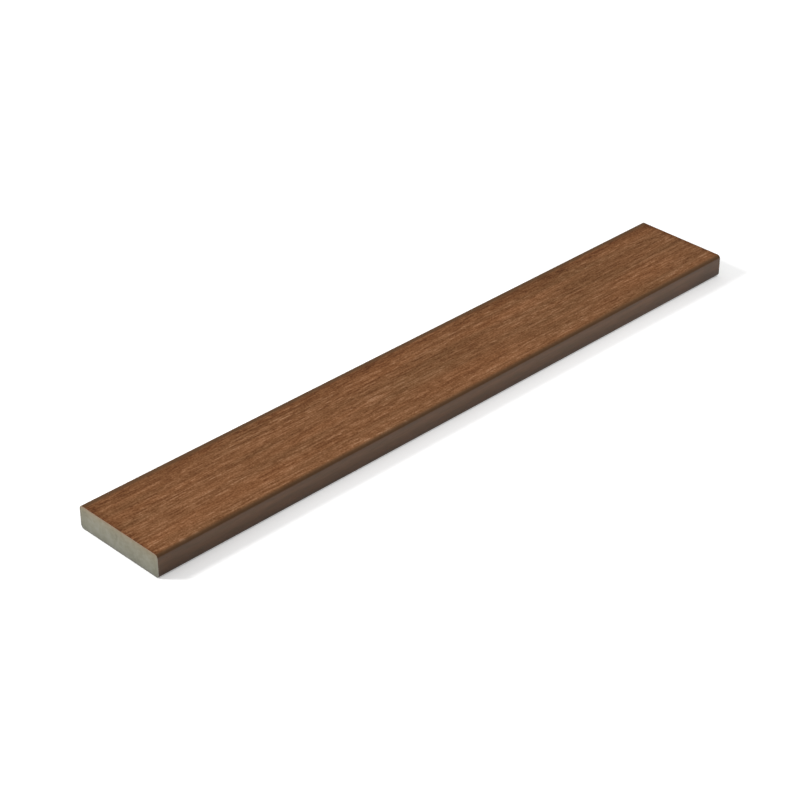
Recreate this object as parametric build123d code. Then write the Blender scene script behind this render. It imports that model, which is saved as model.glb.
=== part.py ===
from build123d import *
import os

# A length of capped composite screening board, lying face up as it would on a bench.
# X runs along the board, Y across its width, and Z up from its back face.
# The origin is at the middle of the back face.

# Driving dimensions, in millimetres
board_length = 496.0
board_width = 70.0
board_thickness = 16.0
arris_radius = 2.5  # round on each of the four long edges
cap_thickness = 0.8  # skin that wraps the four long faces

# The section is drawn square to the length, with its back face on Z = 0.
section_place = Plane.YZ * Pos(0, board_thickness / 2)


def board_outline():
    # The finished section: a flat bar with its four arrises eased.
    return RectangleRounded(board_width, board_thickness, arris_radius)


def core_outline():
    # What the cap leaves of the section. The skin has the same thickness all round.
    return offset(board_outline(), -cap_thickness, kind=Kind.INTERSECTION)


def sawn_length(section):
    # Extrudes a section both ways from the middle of the board, to two square-sawn ends.
    return extrude(section_place * section, board_length / 2, both=True)


# The core runs right through and shows at both ends, flush with the cap.
nodes = {
    "core": sawn_length(core_outline()),
    "cap": sawn_length(board_outline() - core_outline()),
}

os.makedirs("parts", exist_ok=True)
for name, solid in nodes.items():
    solid.label = name
    export_step(solid, f"parts/{name}.step")
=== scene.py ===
import math
import random

import bmesh
import bpy
import numpy as np
from mathutils import Matrix, Vector, noise


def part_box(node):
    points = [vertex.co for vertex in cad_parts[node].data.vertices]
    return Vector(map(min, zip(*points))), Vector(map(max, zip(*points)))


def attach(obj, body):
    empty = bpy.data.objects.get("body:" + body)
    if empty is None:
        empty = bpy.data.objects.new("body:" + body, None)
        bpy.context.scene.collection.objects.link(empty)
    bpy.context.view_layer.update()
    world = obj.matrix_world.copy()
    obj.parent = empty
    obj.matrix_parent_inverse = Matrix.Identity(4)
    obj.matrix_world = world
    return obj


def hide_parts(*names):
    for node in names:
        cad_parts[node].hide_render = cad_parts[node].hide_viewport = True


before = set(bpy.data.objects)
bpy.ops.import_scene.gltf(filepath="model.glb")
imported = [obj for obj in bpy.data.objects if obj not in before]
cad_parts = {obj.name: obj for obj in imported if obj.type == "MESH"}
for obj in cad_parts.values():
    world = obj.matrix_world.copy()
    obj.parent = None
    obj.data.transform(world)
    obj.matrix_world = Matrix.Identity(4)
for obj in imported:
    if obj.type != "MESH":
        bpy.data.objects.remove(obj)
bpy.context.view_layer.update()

mm = 0.001

# The board as the frame gives it: X along, Y across, Z up from the back face
capLow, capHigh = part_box("cap")
coreLow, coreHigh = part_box("core")
boardSize = capHigh - capLow
boardMiddle = (capLow + capHigh) / 2
skin = capHigh.z - coreHigh.z          # the cap is this thick all round
arris = 2.5 * mm                       # round on each long edge
sharpFold = math.radians(50)           # a steeper fold is shaded crisp, as at the sawn edges
print("board", [round(side / mm, 2) for side in boardSize], "mm, cap", round(skin / mm, 2), "mm")


def linear(hexColour):
    channels = [int(hexColour[k:k + 2], 16) / 255 for k in (1, 3, 5)]
    return [c / 12.92 if c <= 0.04045 else ((c + 0.055) / 1.055) ** 2.4 for c in channels] + [1.0]


def newMaterial(name):
    material = bpy.data.materials.new(name)
    material.use_nodes = True
    material.node_tree.nodes.clear()
    return material


def addNode(owner, kind, inputs=None, stops=(), **settings):
    tree = owner.node_tree
    node = tree.nodes.new(kind)
    for name, value in settings.items():
        setattr(node, name, value)
    for socket, value in (inputs or {}).items():
        if isinstance(value, bpy.types.NodeSocket):
            tree.links.new(value, node.inputs[socket])
        else:
            node.inputs[socket].default_value = value
    for k, (position, hexColour) in enumerate(stops):
        elements = node.color_ramp.elements          # a new ramp has two
        element = elements[k] if k < len(elements) else elements.new(position)
        element.position = position
        element.color = linear(hexColour)
    return node


def stretched(owner, place, patch, detail, roughness):
    # A cloudy pattern whose patches have this length, width and height
    scaled = addNode(owner, "ShaderNodeMapping", {"Vector": place, "Scale": [1 / side for side in patch]})
    clouds = addNode(owner, "ShaderNodeTexNoise",
                     {"Vector": scaled.outputs[0], "Scale": 1.0, "Detail": detail, "Roughness": roughness})
    return clouds.outputs[0]


def shadeUpward(owner, place, low, high, stops):
    # A colour that changes from the back face up
    height = addNode(owner, "ShaderNodeSeparateXYZ", {0: place}).outputs["Z"]
    share = addNode(owner, "ShaderNodeMapRange", {"Value": height, "From Min": low.z, "From Max": high.z})
    return addNode(owner, "ShaderNodeValToRGB", {"Fac": share.outputs[0]}, stops).outputs[0]


def roundedSection(bm, size, radius, segments):
    # A flat plate stood up in the YZ plane, with its corners rounded
    bmesh.ops.create_grid(bm, x_segments=1, y_segments=1, size=0.5,
                          matrix=Matrix.Diagonal((size.y, size.z, 1, 1)))
    bmesh.ops.bevel(bm, geom=bm.verts[:], offset=radius, offset_type="OFFSET", segments=segments,
                    profile=0.5, affect="VERTICES", material=-1)
    standUp = Matrix(((0, 0, 1), (1, 0, 0), (0, 1, 0)))  # plate X to Y, plate Y to Z
    bmesh.ops.rotate(bm, verts=bm.verts, cent=(0, 0, 0), matrix=standUp)
    bmesh.ops.translate(bm, verts=bm.verts, vec=(capLow.x, boardMiddle.y, boardMiddle.z))


def makePiece(bm, name, materials):
    mesh = bpy.data.meshes.new(name)
    bm.to_mesh(mesh)
    bm.free()
    for material in materials:
        mesh.materials.append(material)
    mesh.shade_smooth()
    mesh.set_sharp_from_angle(angle=sharpFold)
    piece = bpy.data.objects.new(name, mesh)
    bpy.context.scene.collection.objects.link(piece)
    print(name, len(mesh.polygons), "faces")
    return piece


# Brushed ASA cap: a matt skin, wire-brushed along the board, so dark and pale strokes lie side by side
brushed = {
    "ramp": [(0.0, "#502b11"), (0.25, "#6a4021"), (0.5, "#7f5432"), (0.75, "#946745"), (1.0, "#ab805f")],
    "unbrushedShade": "#5d422a",                    # where the brush misses, the cap as it left the die, painted darker still as the shade and dark reflection on the rounds
    "drift": [(0.30, "#e2e5e1"), (0.50, "#f6f6f6"), (0.70, "#fffbf8")],  # slow change of hue, multiplied in
    "driftPatch": (110 * mm, 11 * mm, 11 * mm),
    "fineStroke": (1.3 * mm, 1.15 * mm, 1.15 * mm),  # the finest brush marks
    "fineShare": 0.50,                    # how far they move the tone
    "roughness": (0.86, 0.70),            # in the dark strokes, on the pale ones
    "ior": 1.5,
    "specular": 0.15,                     # the brushing breaks up the shine
    "relief": (0.4, 0.05 * mm),           # strength and depth of the finest marks
}


def brushedMaterial():
    material = newMaterial("brushed ASA cap")
    place = addNode(material, "ShaderNodeTexCoord").outputs["Object"]
    strokes = addNode(material, "ShaderNodeAttribute", attribute_name="grain")
    fine = stretched(material, place, brushed["fineStroke"], detail=2.0, roughness=0.6)
    fineSwing = addNode(material, "ShaderNodeMapRange",
                        {"Value": fine, "From Min": 0.25, "From Max": 0.75,
                         "To Min": -brushed["fineShare"], "To Max": brushed["fineShare"]})
    both = addNode(material, "ShaderNodeMath", {0: strokes.outputs["Fac"], 1: fineSwing.outputs[0]},
                   operation="ADD")
    tone = addNode(material, "ShaderNodeMapRange",
                   {"Value": both.outputs[0], "From Min": -1.0, "From Max": 1.0}).outputs[0]
    wood = addNode(material, "ShaderNodeValToRGB", {"Fac": tone}, brushed["ramp"])
    drift = stretched(material, place, brushed["driftPatch"], detail=2.0, roughness=0.5)
    tint = addNode(material, "ShaderNodeValToRGB", {"Fac": drift}, brushed["drift"])
    tinted = addNode(material, "ShaderNodeMix", {0: 1.0, 6: wood.outputs[0], 7: tint.outputs[0]},
                     data_type="RGBA", blend_type="MULTIPLY")
    # The unbrushed rounds take a colour darker than the cap's own: painted shade and a painted dark
    # reflection
    unbrushedShade = addNode(material, "ShaderNodeAttribute", attribute_name="unbrushedShade")
    colour = addNode(material, "ShaderNodeMix",
                     {0: unbrushedShade.outputs["Fac"], 6: tinted.outputs[2], 7: linear(brushed["unbrushedShade"])},
                     data_type="RGBA")
    gloss = addNode(material, "ShaderNodeMapRange",
                    {"Value": tone, "To Min": brushed["roughness"][0], "To Max": brushed["roughness"][1]})
    strength, depth = brushed["relief"]
    relief = addNode(material, "ShaderNodeBump", {"Height": fine, "Strength": strength, "Distance": depth})
    surface = addNode(material, "ShaderNodeBsdfPrincipled",
                      {"Base Color": colour.outputs[2], "Roughness": gloss.outputs[0],
                       "IOR": brushed["ior"], "Specular IOR Level": brushed["specular"],
                       "Normal": relief.outputs[0]})
    addNode(material, "ShaderNodeOutputMaterial", {"Surface": surface.outputs[0]})
    return material


# Smooth ASA cap: as it left the die, satin, with faint lines drawn out along it; painted shade darkens it
# towards its lower and upper edges and towards the cuts
smooth = {
    "ramp": [(0.3, "#69492d"), (0.5, "#714f31"), (0.7, "#785535")],
    "dieLine": (220 * mm, 1.4 * mm, 1.4 * mm),
    # painted shade: darker towards the back face and towards the top arris, palest just above the middle
    "paintedFlankShade": [(0.1, "#c2c2c2"), (0.35, "#e4e4e4"), (0.7, "#ffffff"), (0.85, "#e8e0d8"), (1.0, "#ccc0b2")],
    # painted shade: the flank darker towards each cut
    "paintedEndShade": [(0.0, "#ffffff"), (0.6, "#ebe9e3"), (1.0, "#e9e2d4")],
    "paintedEndShadeReach": 40 * mm,              # painted shade: darker over this last stretch to the cuts
    "bloom": [(0.34, "#d9e0d3"), (0.50, "#efedea"), (0.66, "#fff9f5")],  # faint clouds in the skin
    "bloomPatch": (20 * mm, 3.2 * mm, 3.2 * mm),
    "roughness": (0.33, 0.41),
    "ior": 1.5,
    "relief": (0.3, 0.02 * mm),           # strength and depth of the die lines
}


def smoothMaterial():
    material = newMaterial("smooth extruded ASA cap")
    place = addNode(material, "ShaderNodeTexCoord").outputs["Object"]
    lines = stretched(material, place, smooth["dieLine"], detail=3.0, roughness=0.6)
    drawn = addNode(material, "ShaderNodeValToRGB", {"Fac": lines}, smooth["ramp"])
    paintedFlankShade = shadeUpward(material, place, capLow, capHigh, smooth["paintedFlankShade"])
    along = addNode(material, "ShaderNodeSeparateXYZ", {0: place}).outputs["X"]
    outward = addNode(material, "ShaderNodeMath", {0: along}, operation="ABSOLUTE")
    closeness = addNode(material, "ShaderNodeMapRange",
                        {"Value": outward.outputs[0], "From Min": capHigh.x - smooth["paintedEndShadeReach"],
                         "From Max": capHigh.x})
    # painted shade towards the cuts
    endShade = addNode(material, "ShaderNodeValToRGB", {"Fac": closeness.outputs[0]}, smooth["paintedEndShade"])
    clouds = stretched(material, place, smooth["bloomPatch"], detail=4.0, roughness=0.65)
    bloom = addNode(material, "ShaderNodeValToRGB", {"Fac": clouds}, smooth["bloom"])
    colour = drawn.outputs[0]
    for tint in (paintedFlankShade, endShade.outputs[0], bloom.outputs[0]):
        colour = addNode(material, "ShaderNodeMix", {0: 1.0, 6: colour, 7: tint},
                         data_type="RGBA", blend_type="MULTIPLY").outputs[2]
    gloss = addNode(material, "ShaderNodeMapRange",
                    {"Value": lines, "To Min": smooth["roughness"][0], "To Max": smooth["roughness"][1]})
    strength, depth = smooth["relief"]
    relief = addNode(material, "ShaderNodeBump", {"Height": lines, "Strength": strength, "Distance": depth})
    surface = addNode(material, "ShaderNodeBsdfPrincipled",
                      {"Base Color": colour, "Roughness": gloss.outputs[0], "IOR": smooth["ior"],
                       "Normal": relief.outputs[0]})
    addNode(material, "ShaderNodeOutputMaterial", {"Surface": surface.outputs[0]})
    return material


# Sawn ASA cap: the saw scuffs the cut skin pale, so it shows as a thin rim, warmer than the core
sawnRim = {
    "riseWithLowShade": [(0.0, "#83817a"), (0.3, "#938f83"), (0.9, "#999080"), (1.0, "#ab927b")],  # from the back up, darker at the back as painted shade
    "ramp": [(0.3, "#f0f0f0"), (0.7, "#ffffff")],  # the scuffs, multiplied in
    "scuff": 1.2 * mm,
    "roughness": 0.8,
    "ior": 1.5,
    "specular": 0.3,
}


def sawnRimMaterial():
    material = newMaterial("sawn ASA cap")
    place = addNode(material, "ShaderNodeTexCoord").outputs["Object"]
    # painted shade low on the rim; its warmer top is the scuffed skin
    warmthAndLowShade = shadeUpward(material, place, capLow, capHigh, sawnRim["riseWithLowShade"])
    scuffs = addNode(material, "ShaderNodeTexNoise",
                     {"Vector": place, "Scale": 1 / sawnRim["scuff"], "Detail": 2.0})
    scuffed = addNode(material, "ShaderNodeValToRGB", {"Fac": scuffs.outputs[0]}, sawnRim["ramp"])
    colour = addNode(material, "ShaderNodeMix", {0: 1.0, 6: warmthAndLowShade, 7: scuffed.outputs[0]},
                     data_type="RGBA", blend_type="MULTIPLY")
    surface = addNode(material, "ShaderNodeBsdfPrincipled",
                      {"Base Color": colour.outputs[2], "Roughness": sawnRim["roughness"],
                       "IOR": sawnRim["ior"], "Specular IOR Level": sawnRim["specular"]})
    addNode(material, "ShaderNodeOutputMaterial", {"Surface": surface.outputs[0]})
    return material


# Sawn wood-plastic composite: grey, dull and gritty, with the blade's faint arcs across it
composite = {
    "ramp": [(0.3, "#928e7c"), (0.5, "#a09c8b"), (0.7, "#aca89a")],
    # From the back up: painted shade darkens the back of the cut, and the saw drags a little of the brown
    # skin down over the top of it
    "dragAndLowShade": [(0.0, "#dde1e4"), (0.3, "#edeff0"), (0.6, "#f3f3f2"), (0.85, "#f6f1ec"), (1.0, "#fff0e0")],
    "mottle": 5 * mm,
    "grit": 0.5 * mm,
    "gritShare": 0.18,                    # how far each kind of mark covers the ones before it
    "scratch": (2.5 * mm, 2.5 * mm, 9 * mm),  # upright
    "scratchShare": 0.12,
    "bladeMark": 2.6 * mm,                # finer on a real cut, drawn this coarse so that it shows
    "bladeShare": 0.03,
    "bladeCentre": (30 * mm, 130 * mm),   # Y and Z of the saw's axle
    "roughness": 0.88,
    "ior": 1.5,
    "specular": 0.3,
    "relief": (0.35, 0.06 * mm),          # strength and depth of the grit
}


def compositeMaterial():
    material = newMaterial("sawn wood-plastic composite")
    place = addNode(material, "ShaderNodeTexCoord").outputs["Object"]
    mottle = addNode(material, "ShaderNodeTexNoise",
                     {"Vector": place, "Scale": 1 / composite["mottle"], "Detail": 3.0, "Roughness": 0.6})
    grit = addNode(material, "ShaderNodeTexNoise",
                   {"Vector": place, "Scale": 1 / composite["grit"], "Detail": 2.0}).outputs[0]
    scratches = stretched(material, place, composite["scratch"], detail=2.0, roughness=0.5)
    y, z = composite["bladeCentre"]
    bladePlace = addNode(material, "ShaderNodeMapping", {"Vector": place, "Location": (0, -y, -z)})
    arcs = addNode(material, "ShaderNodeTexWave",
                   {"Vector": bladePlace.outputs[0],
                    "Scale": math.pi / 10 / composite["bladeMark"],  # at scale 1 the rings are pi / 10 apart
                    "Distortion": 1.5, "Detail": 1.0, "Detail Scale": 0.6},
                   wave_type="RINGS", rings_direction="X")
    tone = mottle.outputs[0]
    marks = {"gritShare": grit, "scratchShare": scratches, "bladeShare": arcs.outputs["Fac"]}
    for share, mark in marks.items():
        tone = addNode(material, "ShaderNodeMix", {0: composite[share], 2: tone, 3: mark},
                       data_type="FLOAT").outputs[0]
    grey = addNode(material, "ShaderNodeValToRGB", {"Fac": tone}, composite["ramp"])
    # painted shade low on the cut, and the dragged brown skin at its top
    dragAndLowShade = shadeUpward(material, place, coreLow, coreHigh, composite["dragAndLowShade"])
    colour = addNode(material, "ShaderNodeMix", {0: 1.0, 6: grey.outputs[0], 7: dragAndLowShade},
                     data_type="RGBA", blend_type="MULTIPLY")
    strength, depth = composite["relief"]
    relief = addNode(material, "ShaderNodeBump", {"Height": grit, "Strength": strength, "Distance": depth})
    surface = addNode(material, "ShaderNodeBsdfPrincipled",
                      {"Base Color": colour.outputs[2], "Roughness": composite["roughness"],
                       "IOR": composite["ior"], "Specular IOR Level": composite["specular"],
                       "Normal": relief.outputs[0]})
    addNode(material, "ShaderNodeOutputMaterial", {"Surface": surface.outputs[0]})
    return material


# The cap: a thin tube round the core, its upper face pressed with brush strokes that are real grooves
cap = {
    "faceColumns": 200,                   # strips across the brushed face
    "backColumns": 12,
    "flankColumns": 4,
    "arrisSegments": 5,
    "rows": 340,                          # strips along the board
    "dark": {"bristles": 165, "length": (2.5 * mm, 18 * mm), "gap": 8 * mm,
             "width": (1.0 * mm, 2.0 * mm), "press": (0.10, 0.50)},
    "pale": {"bristles": 140, "length": (2.5 * mm, 22 * mm), "gap": 10 * mm,
             "width": (0.9 * mm, 1.8 * mm), "press": (0.10, 0.74)},
    "wander": 0.45 * mm,                  # sideways drift of a bristle from one stroke to its next
    "grooveDepth": 0.10 * mm,
    "ridgeHeight": 0.04 * mm,             # pale strokes stand this much above the face between
    "thicket": (70 * mm, 9 * mm),         # length and width of the patches that are brushed harder
    "thicketPress": 0.6,                  # how much harder, or lighter between them
    "brushOverrun": 2.3 * mm,             # how far past the flat the strokes reach on the -Y side
    "brushShort": -0.4 * mm,              # and on the +Y side, where they stop before its edge
    "brushFade": 3.4 * mm,                # the width over which they die out
    "endTone": -0.40,                     # the saw leaves the last strokes before it darker
    "endMargin": 7 * mm,
    "dullTone": -0.45,                    # the +Y border is darker
    "dullMargin": 14 * mm,
    "wornTone": 0.10,                     # and the -Y border is worn paler
    "wornMargin": 26 * mm,
    "seed": 11,
}


def brushStrokes(rng, kind, alongs, acrosses):
    # Each bristle skips along the board and draws a broken line
    field = np.zeros((len(alongs), len(acrosses)))
    shortest, longest = kind["length"]
    patchLength, patchWidth = cap["thicket"]
    patchKey = rng.uniform(0, 100)
    for _ in range(kind["bristles"]):
        y = rng.uniform(acrosses[0], acrosses[-1])
        half = 0.5 * rng.uniform(*kind["width"])
        start = alongs[0] - rng.random() * longest
        while start < alongs[-1]:
            reach = 0.5 * shortest * (longest / shortest) ** rng.random()
            x = start + reach
            crowd = noise.noise(Vector((x / patchLength, y / patchWidth, patchKey)))
            press = rng.uniform(*kind["press"]) * (1 + cap["thicketPress"] * crowd)
            nearRow, farRow = np.searchsorted(alongs, (x - reach, x + reach))
            lowColumn, highColumn = np.searchsorted(acrosses, (y - half, y + half))
            run = (alongs[nearRow:farRow, None] - x) / reach
            drop = (acrosses[None, lowColumn:highColumn] - y) / half
            mark = press * (1 - run ** 4) * (1 - drop ** 2)  # blunt at its ends, round across
            patch = field[nearRow:farRow, lowColumn:highColumn]
            np.maximum(patch, mark, out=patch)
            start += 2 * reach + rng.expovariate(1 / kind["gap"])
            y += rng.gauss(0, cap["wander"])
    return np.clip(field, 0, 1)


def easeIn(share):
    share = max(0.0, min(1.0, share))
    return share * share * (3 - 2 * share)


def brushFace(bm):
    rng = random.Random(cap["seed"])
    faceReach = boardSize.y / 2 - arris
    alongs = np.linspace(capLow.x, capHigh.x, cap["rows"] + 1)
    acrosses = np.linspace(boardMiddle.y - faceReach, boardMiddle.y + faceReach, cap["faceColumns"] + 1)
    dark = brushStrokes(rng, cap["dark"], alongs, acrosses)
    pale = brushStrokes(rng, cap["pale"], alongs, acrosses)
    print("strokes: mean dark", round(dark.mean(), 3), "mean pale", round(pale.mean(), 3))
    grain = bm.verts.layers.float.new("grain")
    # 1 where the brush misses, which is where the painted dark arris colour goes
    unbrushedShade = bm.verts.layers.float.new("unbrushedShade")
    for vert in bm.verts:
        vert[unbrushedShade] = 1.0
        if vert.co.z < capHigh.z - arris:
            continue
        row = round((vert.co.x - alongs[0]) / (alongs[1] - alongs[0]))
        column = round((vert.co.y - acrosses[0]) / (acrosses[1] - acrosses[0]))
        column = max(0, min(cap["faceColumns"], column))
        reach = cap["brushOverrun"] if vert.co.y < boardMiddle.y else cap["brushShort"]
        brushing = easeIn((faceReach + reach - abs(vert.co.y - boardMiddle.y)) / cap["brushFade"])
        dulling = 1 - easeIn((acrosses[-1] - vert.co.y) / cap["dullMargin"])
        wearing = 1 - easeIn((vert.co.y - acrosses[0]) / cap["wornMargin"])
        ending = 1 - easeIn((boardSize.x / 2 - abs(vert.co.x - boardMiddle.x)) / cap["endMargin"])
        border = cap["dullTone"] * dulling + cap["wornTone"] * wearing + cap["endTone"] * ending
        vert[grain] = pale[row, column] - dark[row, column] + border
        vert[unbrushedShade] = 1 - brushing
        vert.co.z -= brushing * (cap["ridgeHeight"] * (1 - pale[row, column])
                                 + cap["grooveDepth"] * dark[row, column])


def insetPoint(point, depth):
    # Moves a point of the section straight in from its flat, or towards the centre of its corner round
    reachY = boardSize.y / 2 - arris
    reachZ = boardSize.z / 2 - arris
    y = point.y - boardMiddle.y
    z = point.z - boardMiddle.z
    centre = Vector((point.x, boardMiddle.y + max(-reachY, min(reachY, y)),
                     boardMiddle.z + max(-reachZ, min(reachZ, z))))
    return centre + (point - centre) * (1 - depth / arris)


def makeCap():
    bm = bmesh.new()
    roundedSection(bm, boardSize, arris, cap["arrisSegments"])
    bmesh.ops.delete(bm, geom=bm.faces[:], context="FACES_ONLY")
    flats = [edge for edge in bm.edges if edge.calc_length() > 2 * arris]
    for edge in flats:
        middle = (edge.verts[0].co + edge.verts[1].co) / 2 - boardMiddle
        if abs(middle.y) > boardSize.y / 4:
            columns = cap["flankColumns"]
        else:
            columns = cap["faceColumns"] if middle.z > 0 else cap["backColumns"]
        bmesh.ops.subdivide_edges(bm, edges=[edge], cuts=columns - 1)
    bmesh.ops.spin(bm, geom=bm.verts[:] + bm.edges[:], cent=(0, 0, 0), axis=(1, 0, 0), angle=0.0,
                   dvec=(boardSize.x / cap["rows"], 0, 0), steps=cap["rows"])
    innerRims = []
    for end in (capLow.x, capHigh.x):
        rim = [edge for edge in bm.edges if edge.is_boundary and abs(edge.verts[0].co.x - end) < arris]
        cut = bmesh.ops.extrude_edge_only(bm, edges=rim)["geom"]
        for vert in cut:
            if isinstance(vert, bmesh.types.BMVert):
                vert.co = insetPoint(vert.co, skin)
        innerRims += [edge for edge in cut if isinstance(edge, bmesh.types.BMEdge)]
    bmesh.ops.bridge_loops(bm, edges=innerRims)
    bmesh.ops.recalc_face_normals(bm, faces=bm.faces)
    for face in bm.faces:
        middle = face.calc_center_median()
        if abs(face.normal.x) > 0.5:
            face.material_index = 2           # the sawn rim
        elif face.normal.z > 0.2 and middle.z > coreHigh.z - arris / 4:
            face.material_index = 0           # the brushed face and its arrises
        else:
            face.material_index = 1           # the smooth rest, and the inside that the core fills
    brushFace(bm)
    return bm


capMaterials = [brushedMaterial(), smoothMaterial(), sawnRimMaterial()]
brushedCap = makePiece(makeCap(), "brushed_cap", capMaterials)
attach(brushedCap, "root")
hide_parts("cap")


# The core: a solid bar whose two ends carry the saw's shallow arcs, as far apart as the material draws them
core = {
    "endCell": 0.6 * mm,                  # grid on the sawn ends
    "cornerSegments": 4,
    "arcDepth": 0.02 * mm,
    "tearDepth": 0.04 * mm,               # grains pulled out by the teeth
    "tearSize": 3.0 * mm,
    "nickPlace": (1.5 * mm, 8.0 * mm),    # Y and Z of a small gouge on the near end
    "nickSize": (1.0 * mm, 2.4 * mm),
    "nickDepth": 0.40 * mm,
}


def makeCore():
    bm = bmesh.new()
    coreSize = coreHigh - coreLow
    roundedSection(bm, coreSize, arris - skin, core["cornerSegments"])
    for axis in (1, 2):
        cuts = round(coreSize[axis] / core["endCell"])
        for cut in range(1, cuts):
            place = Vector((0, 0, 0))
            place[axis] = coreLow[axis] + coreSize[axis] * cut / cuts
            across = Vector((0, 0, 0))
            across[axis] = 1
            bmesh.ops.bisect_plane(bm, geom=bm.verts[:] + bm.edges[:] + bm.faces[:],
                                   plane_co=place, plane_no=across)
    nearEnd = bm.faces[:]
    farEnd = bmesh.ops.extrude_face_region(bm, geom=nearEnd)["geom"]
    farVerts = [vert for vert in farEnd if isinstance(vert, bmesh.types.BMVert)]
    bmesh.ops.translate(bm, verts=farVerts, vec=(coreSize.x, 0, 0))
    bmesh.ops.recalc_face_normals(bm, faces=bm.faces)
    bladeY, bladeZ = composite["bladeCentre"]
    for vert in bm.verts:
        radius = math.hypot(vert.co.y - bladeY, vert.co.z - bladeZ)
        arc = 0.5 + 0.5 * math.sin(2 * math.pi * radius / composite["bladeMark"])
        tear = abs(noise.noise(vert.co / core["tearSize"]))
        inward = 1 if vert.co.x < boardMiddle.x else -1
        across = (vert.co.y - core["nickPlace"][0]) / core["nickSize"][0]
        upward = (vert.co.z - core["nickPlace"][1]) / core["nickSize"][1]
        nick = math.exp(-across ** 2 - upward ** 4) if inward > 0 else 0
        vert.co.x += inward * (core["arcDepth"] * arc + core["tearDepth"] * tear + core["nickDepth"] * nick)
    return bm


sawnCore = makePiece(makeCore(), "sawn_core", [compositeMaterial()])
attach(sawnCore, "root")
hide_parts("core")


# White studio floor: seen as plain white, it keeps the board's shadow and sends back less than it shows; its
# glow dips by the board's ends and paints that shadow darker there
studio = {
    "floorSide": 8.0,                     # metres
    "floorDrop": 0.05 * mm,               # keeps the floor clear of the back face
    "floorSeen": "#ffffff",
    "floorLit": "#dedede",                # what the board's own light bounces from
    "floorLift": (0.32, 0.235, 0.50),     # glow for the camera alone: at mid-board, by its ends, where it dips as painted shadow, and far off
    "shadowDipReach": (0.12, 0.27),             # metres from the middle, where the first turns into the second: the painted shadow's dip
    "liftClimb": (0.45, 1.10),            # and the second into the third
    "skyTop": 0.795,                      # strength straight overhead, with none at the horizon
    "keyPlace": (-1.0, 0.80, 0.99),
    "keyAim": (1.5, 0.0, 0.0),            # well past the board, so that the near end isn't the brighter
    "keySize": 0.36,
    "keyWatts": 16.2,
    "fillPlace": (0.9, -0.4, 0.65),
    "fillAim": (0.2, 0.0, 0.0),
    "fillSize": 0.6,
    "fillWatts": 2.3,
}


def shownWhite(owner):
    # 1 on rays that show the studio, straight or in a gloss, and 0 on those that only light the board
    path = addNode(owner, "ShaderNodeLightPath")
    glimpsed = addNode(owner, "ShaderNodeMath",
                       {0: path.outputs["Is Glossy Ray"], 1: path.outputs["Is Transmission Ray"]},
                       operation="MAXIMUM")
    return addNode(owner, "ShaderNodeMath", {0: path.outputs["Is Camera Ray"], 1: glimpsed.outputs[0]},
                   operation="MAXIMUM").outputs[0]


def floorMaterial():
    material = newMaterial("white studio floor")
    colour = addNode(material, "ShaderNodeMix",
                     {0: shownWhite(material), 6: linear(studio["floorLit"]),
                      7: linear(studio["floorSeen"])}, data_type="RGBA")
    place = addNode(material, "ShaderNodeTexCoord").outputs["Object"]
    away = addNode(material, "ShaderNodeVectorMath", {0: place}, operation="LENGTH").outputs["Value"]
    middle, ends, beyond = studio["floorLift"]
    dipStart, dipStop = studio["shadowDipReach"]
    # painted shadow: the glow dips by the board's ends, so that the shadow there shows darker
    shadowDip = addNode(material, "ShaderNodeMapRange",
                   {"Value": away, "From Min": dipStart, "From Max": dipStop,
                    "To Min": middle, "To Max": ends},
                   interpolation_type="SMOOTHSTEP")
    climbStart, climbStop = studio["liftClimb"]
    climb = addNode(material, "ShaderNodeMapRange",
                    {"Value": away, "From Min": climbStart, "From Max": climbStop,
                     "To Min": 0.0, "To Max": beyond - ends},
                    interpolation_type="SMOOTHSTEP")
    height = addNode(material, "ShaderNodeMath", {0: shadowDip.outputs[0], 1: climb.outputs[0]}, operation="ADD")
    path = addNode(material, "ShaderNodeLightPath")
    lift = addNode(material, "ShaderNodeMath", {0: path.outputs["Is Camera Ray"], 1: height.outputs[0]},
                   operation="MULTIPLY")
    surface = addNode(material, "ShaderNodeBsdfPrincipled",
                      {"Base Color": colour.outputs[2], "Roughness": 1.0, "Specular IOR Level": 0.0,
                       "Emission Color": linear(studio["floorSeen"]), "Emission Strength": lift.outputs[0]})
    addNode(material, "ShaderNodeOutputMaterial", {"Surface": surface.outputs[0]})
    return material


def makeFloor():
    bm = bmesh.new()
    bmesh.ops.create_grid(bm, x_segments=1, y_segments=1, size=studio["floorSide"] / 2)
    bmesh.ops.translate(bm, verts=bm.verts, vec=(0, 0, capLow.z - studio["floorDrop"]))
    return bm


floor = makePiece(makeFloor(), "floor", [floorMaterial()])


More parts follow.
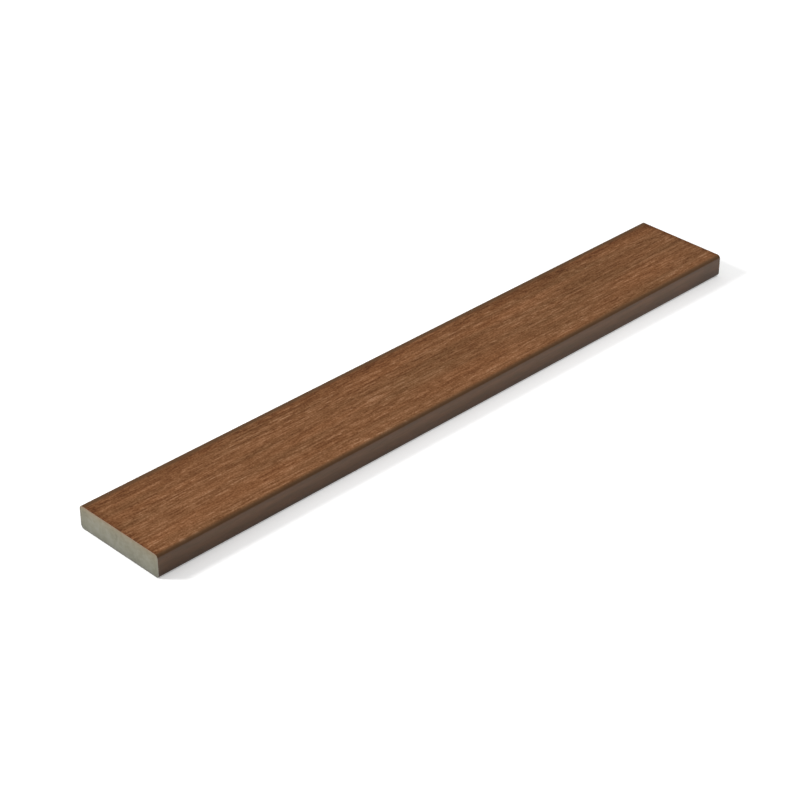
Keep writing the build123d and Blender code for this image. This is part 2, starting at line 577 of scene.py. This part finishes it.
def lightStudio():
    world = bpy.data.worlds.new("white studio")
    bpy.context.scene.world = world
    world.use_nodes = True
    world.node_tree.nodes.clear()
    upward = addNode(world, "ShaderNodeTexCoord").outputs["Generated"]
    height = addNode(world, "ShaderNodeSeparateXYZ", {0: upward}).outputs["Z"]
    overhead = addNode(world, "ShaderNodeMapRange", {"Value": height, "To Max": studio["skyTop"]})
    strength = addNode(world, "ShaderNodeMix", {0: shownWhite(world), 2: overhead.outputs[0], 3: 1.0},
                       data_type="FLOAT")
    sky = addNode(world, "ShaderNodeBackground",
                  {"Color": linear(studio["floorSeen"]), "Strength": strength.outputs[0]})
    addNode(world, "ShaderNodeOutputWorld", {"Surface": sky.outputs[0]})
    for name in ("key", "fill"):
        lamp = bpy.data.lights.new(name, "AREA")
        lamp.shape = "DISK"
        lamp.size = studio[name + "Size"]
        lamp.energy = studio[name + "Watts"]
        holder = bpy.data.objects.new(name, lamp)
        holder.location = studio[name + "Place"]
        holder.visible_camera = False
        ahead = Vector(studio[name + "Aim"]) - holder.location
        holder.rotation_euler = ahead.to_track_quat("-Z", "Y").to_euler()
        bpy.context.scene.collection.objects.link(holder)


lightStudio()
print("studio lit")


# The camera stands off the near end and looks down along the board
view = {
    "lens": 101.603,                      # mm
    "sensor": 36.0,                       # mm
    "pitch": 32.061,                      # degrees below level
    "yaw": 45.375,                        # degrees from the board's length
    "aim": (-20.62 * mm, 4.50 * mm, 0.0),
    "distance": 1415.6 * mm,
}


def placeCamera():
    lens = bpy.data.cameras.new("camera")
    lens.lens = view["lens"]
    lens.sensor_width = view["sensor"]
    camera = bpy.data.objects.new("camera", lens)
    pitch = math.radians(view["pitch"])
    yaw = math.radians(view["yaw"])
    ahead = Vector((math.cos(pitch) * math.cos(yaw), math.cos(pitch) * math.sin(yaw), -math.sin(pitch)))
    camera.location = Vector(view["aim"]) - ahead * view["distance"]
    camera.rotation_euler = ahead.to_track_quat("-Z", "Y").to_euler()
    bpy.context.scene.collection.objects.link(camera)
    bpy.context.scene.camera = camera


placeCamera()
bpy.context.scene.view_settings.view_transform = "Standard"
print("camera placed")
